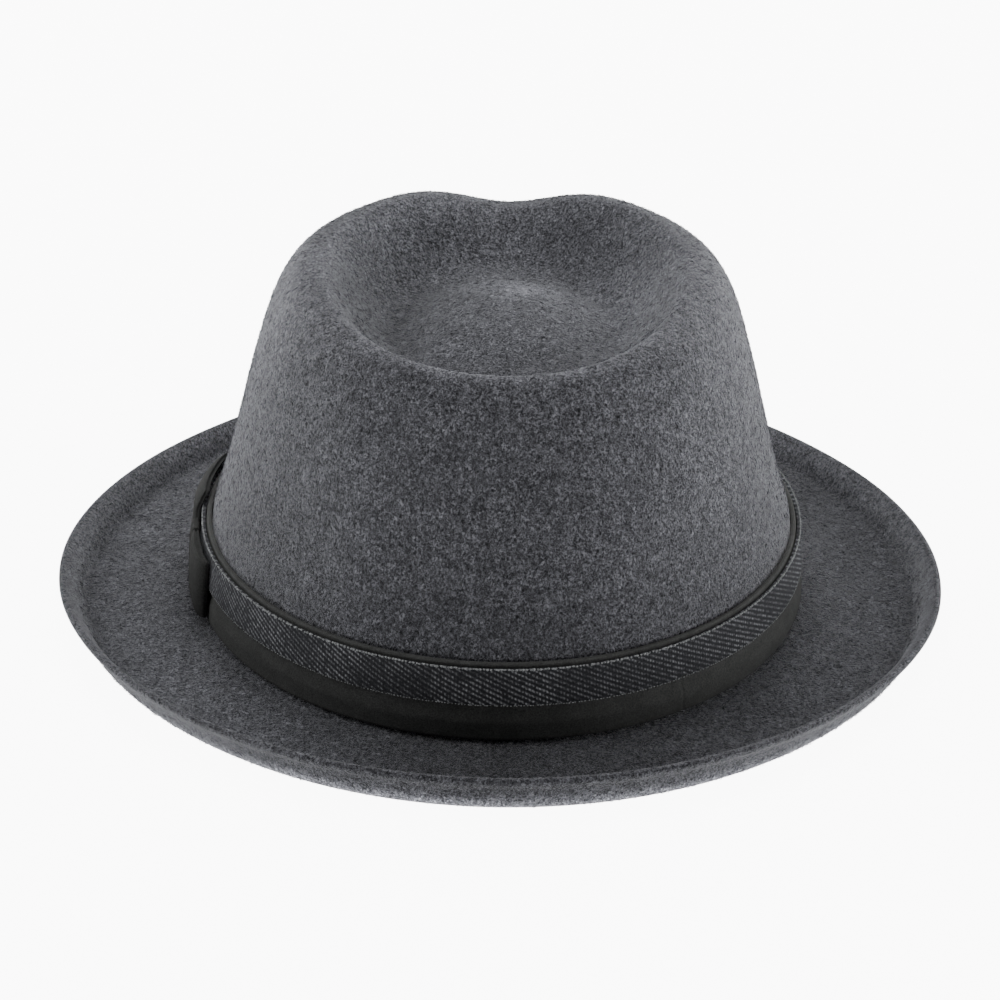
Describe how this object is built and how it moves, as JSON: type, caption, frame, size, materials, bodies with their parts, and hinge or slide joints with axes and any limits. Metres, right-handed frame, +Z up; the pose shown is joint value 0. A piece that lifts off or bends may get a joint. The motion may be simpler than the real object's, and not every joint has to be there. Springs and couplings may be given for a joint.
{
  "type": "trilby",
  "caption": "Felt trilby with a teardrop-dented crown, a short brim curled up at its edge, and a suede band with a denim strip and a flat bow.",
  "frame": {"origin": "middle of the brim's box, on the surface that the brim rests on", "axes": "+Z up, +Y towards the front of the hat, -X the wearer's left, where the bow is"},
  "size_m": [0.2546, 0.2824, 0.105],
  "materials": {
    "felt": "pressed wool felt in mixed greys with a short raised nap",
    "suede": "black suede, matt",
    "denim": "charcoal denim twill with pale weft flecks and a pale cut edge"
  },
  "bodies": {
    "root": {"felt_body": "felt", "hat_band": "suede", "denim_strip": "denim", "bow_loop": "suede", "bow_knot": "suede"}
  },
  "joints": []
}
